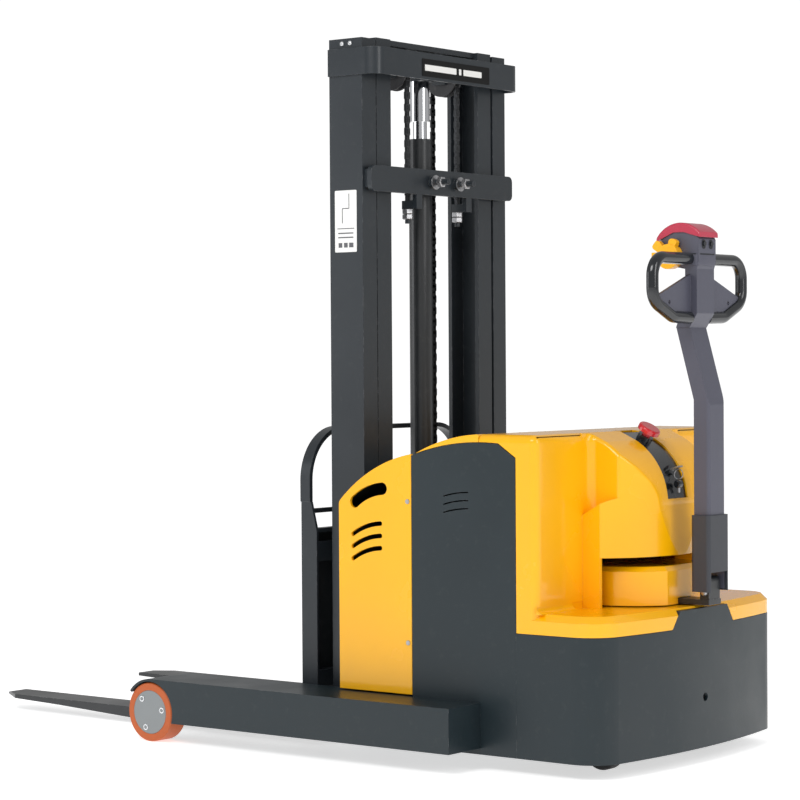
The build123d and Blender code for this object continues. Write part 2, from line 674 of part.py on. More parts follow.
# ======================= inner mast =======================
inner_web_out = web_out - flange_width - channel_gap
inner_front = mast_front + inner_set
inner_rear = mast_rear - inner_set
with BuildPart() as inner_channel_left:
    slab(inner_web_out - inner_width, inner_web_out, inner_front, inner_rear, inner_foot, inner_top)
    slab(inner_web_out - inner_width - 1, inner_web_out - web, inner_front + flange, inner_rear - flange,
         inner_foot - 1, inner_top + 1, Mode.SUBTRACT)
keep(inner_channel_left, "inner_channel_left")
keep(mirrored(inner_channel_left), "inner_channel_right")

beam_half = inner_web_out - web
with BuildPart() as inner_top_beam:
    slab(-beam_half, beam_half, inner_front + flange, inner_rear - flange, inner_top - 14, inner_top)
    slab(-30, 30, inner_front + 24, inner_rear - 24, rod_top + 108, inner_top - 14)
    for side in (-1, 1):
        for edge in (chain_x - 26, chain_x + 18):
            slab(side * edge, side * (edge + 8), mast_mid - 22, mast_mid + 22, sheave_z - 18, inner_top - 14)
        bar_x(side * (chain_x - 24), side * (chain_x + 24), mast_mid, sheave_z, sheave_pin_r)
keep(inner_top_beam, "inner_top_beam")

with BuildPart() as inner_bottom_beam:
    slab(-beam_half, beam_half, inner_rear - flange - 8, inner_rear - flange, inner_foot, inner_foot + 50)
    bar_z(0, mast_mid, inner_foot - 1, inner_foot + 51, barrel_r + barrel_gap, Mode.SUBTRACT)
keep(inner_bottom_beam, "inner_bottom_beam")

with BuildPart() as lift_rod:
    bar_z(0, mast_mid, 330, rod_top, rod_r)
    bar_z(0, mast_mid, 300, 330, bore_r - run_clear)
    bar_z(0, mast_mid, rod_top, rod_top + 108, 26.5)
keep(lift_rod, "lift_rod")

outer_roller_r = mast_depth / 2 - flange - 0.4
with BuildPart() as mast_rollers:
    for side in (-1, 1):
        for z in (150, 540):
            bar_x(side * inner_web_out, side * (inner_web_out + 10), mast_mid, z, 15)
            bar_x(side * (inner_web_out + 10), side * (web_out - web - 1), mast_mid, z, outer_roller_r)
keep(mast_rollers, "mast_rollers")

chain_end = 500.0
with BuildPart() as chain_left:
    with BuildSketch(Plane.YZ.offset(chain_x - chain_width / 2)):
        with Locations((mast_mid, sheave_z)):
            Circle(chain_pitch_r + chain_thick / 2)
            Circle(chain_pitch_r - chain_thick / 2, mode=Mode.SUBTRACT)
            with Locations((0, -2 * chain_pitch_r)):
                Rectangle(4 * chain_pitch_r, 4 * chain_pitch_r, mode=Mode.SUBTRACT)
        with Locations((mast_mid - chain_pitch_r, (sheave_z + chain_end) / 2)):
            Rectangle(chain_thick, sheave_z - chain_end)
        with Locations((mast_mid + chain_pitch_r, (sheave_z + anchor_z) / 2)):
            Rectangle(chain_thick, sheave_z - anchor_z)
    extrude(amount=chain_width)
keep(chain_left, "chain_left")
keep(mirrored(chain_left), "chain_right")

with BuildPart() as sheave_left:
    bar_x(chain_x - 14, chain_x + 14, mast_mid, sheave_z, sheave_r)
    with BuildSketch(Plane.YZ.offset(chain_x - chain_width / 2 - 1)):
        with Locations((mast_mid, sheave_z)):
            Circle(sheave_r + 5)
            Circle(chain_pitch_r - chain_thick / 2 - fit_gap, mode=Mode.SUBTRACT)
    extrude(amount=chain_width + 2, mode=Mode.SUBTRACT)
    bar_x(chain_x - 15, chain_x + 15, mast_mid, sheave_z, sheave_pin_r + run_clear, Mode.SUBTRACT)
keep(sheave_left, "sheave_left")
keep(mirrored(sheave_left), "sheave_right")

# ======================= carriage, forks and backrest =======================
cheek_in = fork_x + fork_width / 2 + 1.0
cheek_out = cheek_in + cheek_thick
shank_rear = shank_front + shank_thick
bar_rear = mast_front - 27.0
arm_in = inner_web_out - inner_width - 20.0
inner_roller_r = (inner_rear - inner_front) / 2 - flange - 0.4
chain_slot = chain_width / 2 + 1.5
cheek_foot = 150.0
cheek_top = 635.0
with BuildPart() as carriage_frame:
    for side in (-1, 1):
        prism_x([(shank_front + 6, cheek_foot), (bar_rear, cheek_foot), (bar_rear, 560), (shank_rear + 4, cheek_top),
                 (shank_front + 6, cheek_top)], side * cheek_in, side * cheek_out)
        slab(side * arm_in, side * (arm_in - 12), bar_rear - 1, mast_rear - 14, cheek_foot + 4, 558)
        for z in (196, 516):
            bar_x(side * (arm_in - 1), side * (inner_web_out - web - 3), mast_mid, z, 14)
        slab(side * (chain_x - 16), side * (chain_x + 16), bar_rear - 1, mast_mid - chain_pitch_r + 9, 470, chain_end)
        slab(side * (chain_x - chain_slot), side * (chain_x + chain_slot), mast_mid - chain_pitch_r - chain_thick,
             mast_mid - chain_pitch_r + 10, 469, chain_end + 1, Mode.SUBTRACT)
    for low, high in ((cheek_foot, 196), (480, 532), (556, 567)):
        slab(-cheek_in, cheek_in, shank_rear, bar_rear, low, high)
keep(carriage_frame, "carriage_frame")

with BuildPart() as carriage_rollers:
    for side in (-1, 1):
        for z in (196, 516):
            bar_x(side * (inner_web_out - inner_width + 2), side * (inner_web_out - web - 3), mast_mid, z,
                  inner_roller_r)
            bar_x(side * (inner_web_out - inner_width), side * inner_web_out, mast_mid, z, 14, Mode.SUBTRACT)
keep(carriage_rollers, "carriage_rollers")

heel_r = 30.0
with BuildPart() as fork_left:
    with BuildSketch(Plane.YZ.offset(fork_x - fork_width / 2)):
        with BuildLine():
            Polyline((shank_rear, shank_top), (shank_rear, 15), (tip_y + 560, 15), (tip_y + 260, 29),
                     (tip_y, 37), (tip_y, 42), (tip_y + 20, fork_top), (shank_front, fork_top),
                     (shank_front, shank_top), close=True)
        make_face()
        fillet(vertices().filter_by_position(Axis.Y, 10, 20).filter_by_position(Axis.X, shank_rear - 1, shank_rear + 1),
               heel_r)
        fillet(vertices().filter_by_position(Axis.Y, fork_top - 1, fork_top + 1)
               .filter_by_position(Axis.X, shank_front - 1, shank_front + 1), 18)
    extrude(amount=fork_width)
    for x, corner in ((fork_x - fork_width / 2, 19), (fork_x + fork_width / 2, 78)):
        with BuildSketch(Plane.XY):
            with BuildLine():
                Polyline((fork_x, tip_y - 1), (x, tip_y + corner), (x + (x - fork_x), tip_y + corner),
                         (x + (x - fork_x), tip_y - 1), close=True)
            make_face()
        extrude(amount=60, mode=Mode.SUBTRACT)
keep(fork_left, "fork_left")
keep(mirrored(fork_left), "fork_right")

rest_front = shank_front + 3.0
with BuildPart() as backrest:
    for inset, change in ((0, Mode.ADD), (rest_bar, Mode.SUBTRACT)):
        with BuildSketch(Plane.XZ.offset(-rest_front + inset)):
            with Locations((0, (cheek_top + rest_top) / 2 - inset)):
                Rectangle(2 * (cheek_out - inset), rest_top - cheek_top)
            fillet(vertices().group_by(Axis.Y)[-1], rest_r - inset)
        extrude(amount=-rest_depth - 2 * inset, mode=change)
    slab(-cheek_in, cheek_in, rest_front + 10, rest_front + 22, 604, 616)
    slab(-6, 6, rest_front + 10, rest_front + 22, 616, rest_top - rest_bar)
keep(backrest, "backrest")

# ======================= drive unit =======================
flange_top = table_z + table_thick + 14.0
motor_step = drum_bottom + 0.5
tongue_top = drum_bottom + 14.0
axle_z = drive_wheel_r
side_x = drive_wheel_width / 2 + 10.0
with BuildPart() as drive_gearbox:
    bar_z(0, steer_y, drive_wheel_r + 126, table_z + table_thick + fit_gap, neck_r)
    bar_z(0, steer_y, table_z + table_thick + fit_gap, flange_top, neck_r + 30)
    slab(side_x, side_x + 48, steer_y - 60, steer_y + 60, axle_z, axle_z + 127)
    bar_x(side_x, side_x + 48, steer_y, axle_z, 60)
    bar_x(5 - side_x, side_x, steer_y, axle_z, 20)
keep(drive_gearbox, "drive_gearbox")

with BuildPart() as drive_motor:
    bar_z(0, steer_y, flange_top, motor_step, motor_r + 10)
    bar_z(0, steer_y, motor_step, drum_top - 16, motor_r)
keep(drive_motor, "drive_motor")

wheel_half = drive_wheel_width / 2
with BuildPart() as drive_tyre:
    bar_x(-wheel_half, wheel_half, steer_y, axle_z, drive_wheel_r)
    bar_x(-wheel_half - 1, wheel_half + 1, steer_y, axle_z, drive_wheel_r - 22, Mode.SUBTRACT)
    chamfer(edges().filter_by(GeomType.CIRCLE).group_by(SortBy.RADIUS)[-1], 4)
keep(drive_tyre, "drive_tyre")
with BuildPart() as drive_hub:
    bar_x(-wheel_half + 2, wheel_half + 6, steer_y, axle_z, drive_wheel_r - 22)
    bar_x(wheel_half, wheel_half + 7, steer_y, axle_z, drive_wheel_r + 1, Mode.SUBTRACT)
    bar_x(-wheel_half, wheel_half + 1, steer_y, axle_z, 20 + run_clear, Mode.SUBTRACT)
keep(drive_hub, "drive_hub")


def drum_plan(radius, back):
    """The drum's plan: a circle with a flat back."""
    with Locations((0, steer_y)):
        Circle(radius)
    with Locations((0, back + radius)):
        Rectangle(2 * radius, 2 * radius, mode=Mode.SUBTRACT)


with BuildPart() as drive_cover:
    with BuildSketch(Plane.XY.offset(drum_bottom)):
        drum_plan(drum_r, drum_back)
    extrude(amount=drum_top - drum_bottom)
    chamfer(faces().sort_by(Axis.Z)[-1].edges(), 12)
    with BuildSketch(Plane.XY.offset(drum_bottom - 1)):
        drum_plan(drum_r - 4, drum_back - 4)
    extrude(amount=drum_top - drum_bottom - 12, mode=Mode.SUBTRACT)
    slab(-lug_half - 5, lug_half + 5, drum_back - 10, drum_back + 10, drum_bottom - 1, tongue_top + 1, Mode.SUBTRACT)
keep(drive_cover, "drive_cover")

with BuildPart() as tiller_bracket:
    with BuildSketch(Plane.XY.offset(motor_step)):
        drum_plan(drum_r - 4, drum_back - 4)
        with Locations((0, steer_y)):
            Circle(motor_r, mode=Mode.SUBTRACT)
    extrude(amount=tongue_top - motor_step)
    slab(-lug_half - 3, lug_half + 3, drum_back - 5, pivot_y + 14, motor_step, tongue_top)
    slab(-lug_half, lug_half, pivot_y - 13, pivot_y + 13, tongue_top - 1, pivot_z)
    bar_x(-lug_half, lug_half, pivot_y, pivot_z, 13)
    bar_x(-arm_half - 6, arm_half + 6, pivot_y, pivot_z, pivot_r)
keep(tiller_bracket, "tiller_bracket")

# ======================= tiller =======================
# A box arm in a pressed sleeve. Above the bend it leans forward, then the head stands upright.
neck_rear = arm_rear - 31.0
neck_front = neck_rear - 34.0
bend_rear = arm_rear - 53.0
arm_wall = 5.0
cut_z = pivot_z + 24.0


def arm_side(inset):
    """Side view of the arm, inset by a wall."""
    front = arm_front + inset
    rear = arm_rear - inset
    shift = bend_rear - arm_rear
    return [(front, pivot_z - 20 + (inset and -10)), (rear, pivot_z - 20 + (inset and -10)), (rear, arm_bend_z),
            (rear + shift, arm_top - inset * 2), (front + shift + 4, arm_top - inset * 2), (front, arm_bend_z + 12)]


with BuildPart() as tiller_arm:
    prism_x(arm_side(0), -arm_half, arm_half)
    fillet(edges().filter_by(Axis.Z).group_by(Axis.Y)[-1], 8)
    prism_x(arm_side(arm_wall), -arm_half + arm_wall, arm_half - arm_wall, Mode.SUBTRACT)
    slab(-arm_half + arm_wall, arm_half - arm_wall, arm_front - 20, arm_rear + 20, 0, cut_z, Mode.SUBTRACT)
    bar_x(-arm_half - 1, arm_half + 1, pivot_y, pivot_z, pivot_r + run_clear, Mode.SUBTRACT)
keep(tiller_arm, "tiller_arm")

with BuildPart() as tiller_sleeve:
    slab(-sleeve_half, sleeve_half, arm_front - sleeve_wall, tiller_rear, sleeve_bottom, sleeve_top)
    fillet(edges().filter_by(Axis.Z), 9)
    slab(-arm_half, arm_half, arm_front, arm_rear, sleeve_bottom - 1, sleeve_top + 1, Mode.SUBTRACT)
    slab(-arm_half, arm_half, arm_front - 20, tiller_rear + 1, 0, cut_z, Mode.SUBTRACT)
    bar_x(-arm_half - 7, arm_half + 7, pivot_y, pivot_z, pivot_r + run_clear, Mode.SUBTRACT)
keep(tiller_sleeve, "tiller_sleeve")

head_top = 1319.0
head_front = grip_y - 88.0
head_rear = grip_y + 27.0
pad_gap = 5.0
pad_wrap = 4.0
head_crown = [(head_front, 1290), (head_front + 24, head_top - 8), (grip_y - 44, head_top),
              (grip_y - 14, head_top), (head_rear - 8, head_top - 8), (head_rear, 1298)]
pad_hollow = [(y, z + pad_gap) for y, z in head_crown]
hub_y = grip_y - 48.0
hub_z = 1256.0
hub_r = 31.0
button_z = 1287.0
button_r = 6.0
gusset_x = 185.0
with BuildPart() as handles:
    with BuildLine() as grip_path:
        FilletPolyline((head_half, grip_y, grip_z), (grip_half - grip_r, grip_y, grip_z),
                       (grip_half - grip_r, grip_y, 1145), (120, grip_y, 1106), (head_half, grip_y, 1104), radius=46)
    with BuildSketch(Plane(origin=(head_half, grip_y, grip_z), x_dir=(0, 1, 0), z_dir=(1, 0, 0))):
        Circle(grip_r)
    sweep()
    mirror(about=Plane.YZ)
keep(handles, "handles")

with BuildPart() as head_housing:
    prism_x([(neck_rear - 22, arm_top), (bend_rear - arm_depth + 4, arm_top), (neck_front, arm_top + 70),
             (neck_front, 1225), (head_front, 1240)] + head_crown + [(head_rear, 1240), (neck_rear, 1225),
             (neck_rear, arm_top + 35)], -head_half, head_half)
    for side in (-1, 1):
        with BuildSketch(Plane.XZ.offset(-grip_y + 4)):
            with BuildLine():
                Polyline((side * (head_half - 1), 1105), (side * 118, 1107), (side * (grip_half - grip_r), 1146),
                         (side * gusset_x, 1160), (side * (head_half - 1), 1212), close=True)
            make_face()
            with Locations((side * 140, 1142)):
                Circle(5, mode=Mode.SUBTRACT)
        extrude(amount=-8)
        bar_y(side * 17, head_rear - 60, head_rear + 1, button_z, button_r + run_clear, Mode.SUBTRACT)
    add(handles.part, mode=Mode.SUBTRACT)
    bar_x(-head_half - 1, head_half + 1, hub_y, hub_z, axle_rod_r + run_clear, Mode.SUBTRACT)
keep(head_housing, "head_housing")

with BuildPart() as butterfly:
    bar_x(-head_half - 20, head_half + 20, hub_y, hub_z, axle_rod_r)
    for side in (-1, 1):
        bar_x(side * (head_half + 0.5), side * (head_half + 24), hub_y, hub_z, hub_r)
        slab(side * (head_half + 3), side * (head_half + 24), hub_y - 46, hub_y + 20, hub_z - 11, hub_z + 11)
keep(butterfly, "butterfly")

for side, name in ((-1, "button_lower"), (1, "button_lift")):
    with BuildPart() as button:
        bar_y(side * 17, head_rear - 40, head_rear + 5, button_z, button_r)
    keep(button, name)

with BuildPart() as belly_pad:
    with BuildSketch(Plane.YZ.offset(-head_half - 4)):
        with BuildLine():
            ThreePointArc((head_front - pad_wrap, 1306), (grip_y - 30, 1340), (head_rear + pad_wrap, 1316))
            Polyline((head_rear + pad_wrap, 1316), (head_rear + pad_wrap, 1303), (grip_y - 14, head_top - 3),
                     (grip_y - 44, head_top - 3), (head_front - pad_wrap, 1295), (head_front - pad_wrap, 1306))
        make_face()
    extrude(amount=2 * head_half + 8)
    fillet(edges().filter_by(GeomType.CIRCLE), 5)
    prism_x([(head_front - 0.5, 1280)] + [(head_front - 0.5, pad_hollow[0][1])] + pad_hollow[1:-1]
            + [(head_rear + 0.5, pad_hollow[-1][1]), (head_rear + 0.5, 1280)],
            -head_half - 0.5, head_half + 0.5, Mode.SUBTRACT)
keep(belly_pad, "belly_pad")

# ======================= castors =======================
castor_axle_y = castor_y + castor_trail
for side, name in ((1, "left"), (-1, "right")):
    x = side * castor_x
    with BuildPart() as castor_fork:
        bar_z(x, castor_y, 148, 159.7, 32)
        bar_z(x, castor_y, 159, 198, 12)
        slab(x - 27, x + 27, castor_y, castor_axle_y + 16, 148, 156)
        for cheek in (-27, 22):
            slab(x + cheek, x + cheek + 5, castor_axle_y - 16, castor_axle_y + 16, 36, 149)
        bar_x(x - 26, x + 26, castor_axle_y, castor_r, 8)
    keep(castor_fork, "castor_fork_" + name)
    with BuildPart() as castor_wheel:
        bar_x(x - castor_width / 2, x + castor_width / 2, castor_axle_y, castor_r, castor_r)
        fillet(edges().filter_by(GeomType.CIRCLE), 5)
        bar_x(x - castor_width, x + castor_width, castor_axle_y, castor_r, 8 + run_clear, Mode.SUBTRACT)
    keep(castor_wheel, "castor_wheel_" + name)
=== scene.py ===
import math

import bmesh
import bpy
from mathutils import Matrix, Vector


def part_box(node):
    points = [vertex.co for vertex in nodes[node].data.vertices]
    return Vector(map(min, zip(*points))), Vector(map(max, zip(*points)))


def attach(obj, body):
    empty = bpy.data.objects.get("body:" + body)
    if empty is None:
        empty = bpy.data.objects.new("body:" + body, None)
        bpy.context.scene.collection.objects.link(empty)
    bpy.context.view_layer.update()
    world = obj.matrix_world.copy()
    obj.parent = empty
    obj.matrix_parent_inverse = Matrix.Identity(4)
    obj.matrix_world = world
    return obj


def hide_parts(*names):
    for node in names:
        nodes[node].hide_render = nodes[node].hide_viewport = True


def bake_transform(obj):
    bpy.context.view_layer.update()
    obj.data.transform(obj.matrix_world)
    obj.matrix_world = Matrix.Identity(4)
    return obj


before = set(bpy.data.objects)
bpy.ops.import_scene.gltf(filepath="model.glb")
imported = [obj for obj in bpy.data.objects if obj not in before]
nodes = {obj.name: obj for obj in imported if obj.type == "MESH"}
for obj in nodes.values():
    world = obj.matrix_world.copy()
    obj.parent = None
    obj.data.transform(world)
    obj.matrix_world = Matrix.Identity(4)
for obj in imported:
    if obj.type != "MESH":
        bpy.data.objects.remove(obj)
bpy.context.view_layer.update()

# ---------------------------------------------------------------------------------------
# View and studio: a flat pale floor under a white surround, a broad soft key from the left, a
# tall strip behind and a cool fill in front. The view is from behind, left, at waist height.
# ---------------------------------------------------------------------------------------
camera_data = bpy.data.cameras.new("camera")
camera_data.lens = 114.74
camera_data.sensor_width = 36.0
camera_data.clip_end = 60.0
camera = bpy.data.objects.new("camera", camera_data)
bpy.context.scene.collection.objects.link(camera)
camera_place = Vector((5.4550, 4.3475, 1.0124))
turn, dip, roll = math.radians(37.80), math.radians(0.972), math.radians(-0.347)
back = Vector((math.cos(turn) * math.cos(dip), math.sin(turn) * math.cos(dip), math.sin(dip)))
side = (-back).cross(Vector((0, 0, 1))).normalized()
rise = side.cross(-back)
across = side * math.cos(roll) + rise * math.sin(roll)
upward = rise * math.cos(roll) - side * math.sin(roll)
camera.matrix_world = Matrix((
    (across.x, upward.x, back.x, camera_place.x),
    (across.y, upward.y, back.y, camera_place.y),
    (across.z, upward.z, back.z, camera_place.z),
    (0, 0, 0, 1)))
bpy.context.scene.camera = camera
bpy.context.scene.view_settings.view_transform = "Standard"

# The surround lights the truck at one strength and shows pure white to the camera at another.
surround_light = 0.48
surround_seen = 1.05
world = bpy.data.worlds.new("studio")
bpy.context.scene.world = world
world.use_nodes = True
world.node_tree.nodes["Background"].inputs["Color"].default_value = (1.0, 1.0, 1.0, 1)
seen = world.node_tree.nodes.new("ShaderNodeLightPath")
glow = world.node_tree.nodes.new("ShaderNodeMapRange")
glow.inputs["To Min"].default_value = surround_light
glow.inputs["To Max"].default_value = surround_seen
world.node_tree.links.new(seen.outputs["Is Camera Ray"], glow.inputs["Value"])
world.node_tree.links.new(glow.outputs["Result"], world.node_tree.nodes["Background"].inputs["Strength"])


def softbox(name, place, target, size, power, tint=(1, 1, 1)):
    """A rectangular area light at a place, turned toward a target."""
    data = bpy.data.lights.new(name, "AREA")
    data.shape = "RECTANGLE"
    data.size, data.size_y = size
    data.energy = power
    data.color = tint
    lamp = bpy.data.objects.new(name, data)
    lamp.location = place
    lamp.rotation_euler = (Vector(target) - Vector(place)).to_track_quat("-Z", "Y").to_euler()
    bpy.context.scene.collection.objects.link(lamp)


softbox("key", (3.6, 1.2, 3.6), (0, 0.2, 0.5), (2.4, 1.6), 82)
softbox("rear_strip", (0.4, 4.4, 2.4), (0, 0.6, 0.8), (1.2, 2.4), 36)
softbox("front_fill", (2.6, -3.2, 1.6), (0, -0.4, 0.6), (1.6, 1.6), 20, (0.95, 0.97, 1))

floor_half = 30
floor_glow = 0.62
floor_mesh = bpy.data.meshes.new("floor")
bm = bmesh.new()
bmesh.ops.create_grid(bm, x_segments=1, y_segments=1, size=floor_half)
bm.to_mesh(floor_mesh)
bm.free()
floor = bpy.data.objects.new("floor", floor_mesh)
bpy.context.scene.collection.objects.link(floor)
pale = bpy.data.materials.new("pale_floor")
pale.use_nodes = True
pale_surface = pale.node_tree.nodes["Principled BSDF"]
pale_surface.inputs["Base Color"].default_value = (0.93, 0.93, 0.93, 1)
pale_surface.inputs["Roughness"].default_value = 0.6
pale_surface.inputs["Emission Color"].default_value = (1, 1, 1, 1)
pale_surface.inputs["Emission Strength"].default_value = floor_glow
floor_mesh.materials.append(pale)

# ---------------------------------------------------------------------------------------
# Chassis, legs, side plates and skirt: pressed and welded steel, powder coated in satin
# charcoal. The coat has a fine orange peel, faint dust and thin bright rubs on its edges.
# ---------------------------------------------------------------------------------------


def finish(name, colour, rough, metallic=0.0, coat=0.0, coat_rough=0.1, mottle=0.06, grain=900.0,
           peel=0.02, rub=0.0, rub_colour=(0.4, 0.4, 0.42), edge=0.0012, rough_swing=0.06, dust=0.0,
           specular=0.5):
    """A painted, moulded or bare finish that shades from the piece's own coordinates.

    mottle and rough_swing vary colour and gloss, grain and peel set the fine bump, dust adds
    specks, and rub bares rub_colour in patches along edges rounded by the radius edge.
    """
    made = bpy.data.materials.new(name)
    made.use_nodes = True
    tree = made.node_tree
    new, link = tree.nodes.new, tree.links.new
    surface = tree.nodes["Principled BSDF"]
    surface.inputs["Base Color"].default_value = (*colour, 1)
    surface.inputs["Roughness"].default_value = rough
    surface.inputs["Metallic"].default_value = metallic
    surface.inputs["Coat Weight"].default_value = coat
    surface.inputs["Coat Roughness"].default_value = coat_rough
    surface.inputs["Specular IOR Level"].default_value = specular
    place = new("ShaderNodeTexCoord")
    broad = new("ShaderNodeTexNoise")
    broad.inputs["Scale"].default_value = 5.0
    broad.inputs["Detail"].default_value = 5.0
    link(place.outputs["Object"], broad.inputs["Vector"])
    shade = new("ShaderNodeValToRGB")
    shade.color_ramp.elements[0].position = 0.3
    shade.color_ramp.elements[1].position = 0.7
    shade.color_ramp.elements[0].color = (*[c * (1 - mottle) for c in colour], 1)
    shade.color_ramp.elements[1].color = (*[min(1, c * (1 + mottle)) for c in colour], 1)
    link(broad.outputs["Fac"], shade.inputs["Fac"])
    painted = shade.outputs["Color"]
    if dust:
        film = new("ShaderNodeTexNoise")
        film.inputs["Scale"].default_value = 38.0
        film.inputs["Detail"].default_value = 8.0
        film.inputs["Roughness"].default_value = 0.7
        link(place.outputs["Object"], film.inputs["Vector"])
        specks = new("ShaderNodeMapRange")
        specks.inputs["From Min"].default_value = 0.56
        specks.inputs["From Max"].default_value = 0.72
        specks.inputs["To Max"].default_value = dust
        link(film.outputs["Fac"], specks.inputs["Value"])
        dusty = new("ShaderNodeMix")
        dusty.data_type = "RGBA"
        dusty.inputs["B"].default_value = (0.32, 0.31, 0.29, 1)
        link(specks.outputs["Result"], dusty.inputs["Factor"])
        link(painted, dusty.inputs["A"])
        painted = dusty.outputs["Result"]
    rounded = new("ShaderNodeBevel")
    rounded.samples = 4
    rounded.inputs["Radius"].default_value = edge
    if rub:
        flat = new("ShaderNodeNewGeometry")
        match = new("ShaderNodeVectorMath")
        match.operation = "DOT_PRODUCT"
        link(rounded.outputs["Normal"], match.inputs[0])
        link(flat.outputs["Normal"], match.inputs[1])
        corner = new("ShaderNodeMapRange")
        corner.inputs["From Min"].default_value = 0.97
        corner.inputs["From Max"].default_value = 0.80
        link(match.outputs["Value"], corner.inputs["Value"])
        patch = new("ShaderNodeTexNoise")
        patch.inputs["Scale"].default_value = 55.0
        patch.inputs["Detail"].default_value = 6.0
        link(place.outputs["Object"], patch.inputs["Vector"])
        broken = new("ShaderNodeMapRange")
        broken.inputs["From Min"].default_value = 0.50
        broken.inputs["From Max"].default_value = 0.62
        broken.inputs["To Max"].default_value = rub
        link(patch.outputs["Fac"], broken.inputs["Value"])
        worn = new("ShaderNodeMath")
        worn.operation = "MULTIPLY"
        link(corner.outputs["Result"], worn.inputs[0])
        link(broken.outputs["Result"], worn.inputs[1])
        bare = new("ShaderNodeMix")
        bare.data_type = "RGBA"
        bare.inputs["B"].default_value = (*rub_colour, 1)
        link(worn.outputs["Value"], bare.inputs["Factor"])
        link(painted, bare.inputs["A"])
        painted = bare.outputs["Result"]
    link(painted, surface.inputs["Base Color"])
    fine = new("ShaderNodeTexNoise")
    fine.inputs["Scale"].default_value = grain
    fine.inputs["Detail"].default_value = 3.0
    link(place.outputs["Object"], fine.inputs["Vector"])
    gloss = new("ShaderNodeMapRange")
    gloss.inputs["From Min"].default_value = 0.35
    gloss.inputs["From Max"].default_value = 0.65
    gloss.inputs["To Min"].default_value = max(0.02, rough - rough_swing)
    gloss.inputs["To Max"].default_value = rough + rough_swing
    link(broad.outputs["Fac"], gloss.inputs["Value"])
    link(gloss.outputs["Result"], surface.inputs["Roughness"])
    bump = new("ShaderNodeBump")
    bump.inputs["Strength"].default_value = peel
    bump.inputs["Distance"].default_value = 0.001
    link(fine.outputs["Fac"], bump.inputs["Height"])
    link(rounded.outputs["Normal"], bump.inputs["Normal"])
    link(bump.outputs["Normal"], surface.inputs["Normal"])
    return made


def wear(material, *names):
    """Gives CAD nodes a material in every slot."""
    for name in names:
        thing = nodes[name]
        if not thing.material_slots:
            thing.data.materials.append(material)
        for place in thing.material_slots:
            place.material = material


charcoal = finish("charcoal_powder_coat", (0.013, 0.022, 0.027), 0.40, coat=0.10, coat_rough=0.22, peel=0.05,
                  grain=700, rub=0.4, edge=0.0016, dust=0.03, specular=0.35)
wear(charcoal, "chassis_frame", "side_plate_left", "side_plate_right", "rear_skirt", "leg_left", "leg_right")

# ---------------------------------------------------------------------------------------
# Hood, battery lid, mast panels and drive cover: moulded and pressed covers in a deep
# gloss golden yellow, lacquered, with a faint orange peel and slightly paler rubbed edges.
# ---------------------------------------------------------------------------------------
golden = finish("golden_gloss", (0.95, 0.46, 0.001), 0.24, coat=0.45, coat_rough=0.06, specular=0.35,
                mottle=0.03, peel=0.015, grain=260, rub=0.25, rub_colour=(0.95, 0.62, 0.12), edge=0.0022,
                rough_swing=0.04)
wear(golden, "rear_hood", "battery_cover", "mast_panel_left", "mast_panel_right", "drive_cover")

# ---------------------------------------------------------------------------------------
# Mast, crossbar, collar, carriage and backrest: rolled steel sections in the same
# charcoal, a touch glossier, with faint dust and the same bright rubs on the edges.
# ---------------------------------------------------------------------------------------
mast_paint = finish("mast_paint", (0.017, 0.022, 0.027), 0.36, coat=0.15, coat_rough=0.2, peel=0.05,
                    grain=520, rub=0.4, edge=0.0018, dust=0.03, specular=0.4)
wear(mast_paint, "outer_channel_left", "outer_channel_right", "top_collar", "crossbar", "inner_channel_left",
     "inner_channel_right", "inner_top_beam", "inner_bottom_beam", "carriage_frame", "backrest")

# ---------------------------------------------------------------------------------------
# Forks, lift cylinder, castor forks and tiller bracket: black painted steel, rubbed bright
# along its edges more heavily than the rest.
# ---------------------------------------------------------------------------------------
black_steel = finish("black_steel_paint", (0.010, 0.012, 0.014), 0.38, coat=0.2, coat_rough=0.25, peel=0.06,
                     grain=480, rub=0.8, edge=0.0022, dust=0.05)
wear(black_steel, "fork_left", "fork_right", "lift_cylinder", "castor_fork_left", "castor_fork_right",
     "tiller_bracket")

# ---------------------------------------------------------------------------------------
# Tiller arm, head and sleeve: nylon mouldings over a steel arm, with a fine leather grain. The
# arm and the head are a matte mauve grey and the sleeve is darker.
# ---------------------------------------------------------------------------------------
tiller_grey = finish("tiller_grey", (0.080, 0.081, 0.110), 0.42, mottle=0.05, peel=0.09, grain=1400,
                     rub=0.25, rub_colour=(0.2, 0.2, 0.23), edge=0.0020)
sleeve_grey = finish("sleeve_grey", (0.034, 0.037, 0.046), 0.45, mottle=0.05, peel=0.10, grain=1300,
                     rub=0.25, rub_colour=(0.15, 0.15, 0.17), edge=0.0020)
wear(tiller_grey, "tiller_arm", "head_housing")
wear(sleeve_grey, "tiller_sleeve")

# ---------------------------------------------------------------------------------------
# Handles, switch insert and push buttons in glossy black plastic, and the battery case in a
# duller, dusty black.
# ---------------------------------------------------------------------------------------
grip_black = finish("grip_black", (0.008, 0.010, 0.013), 0.20, coat=0.4, coat_rough=0.12, mottle=0.15,
                    peel=0.03, grain=800, edge=0.001)
case_black = finish("case_black", (0.020, 0.021, 0.024), 0.45, mottle=0.1, peel=0.08, grain=900,
                    rub=0.3, rub_colour=(0.1, 0.1, 0.1), edge=0.001, dust=0.06)
wear(grip_black, "handles", "switch_panel", "button_lift", "button_lower")
wear(case_black, "battery")

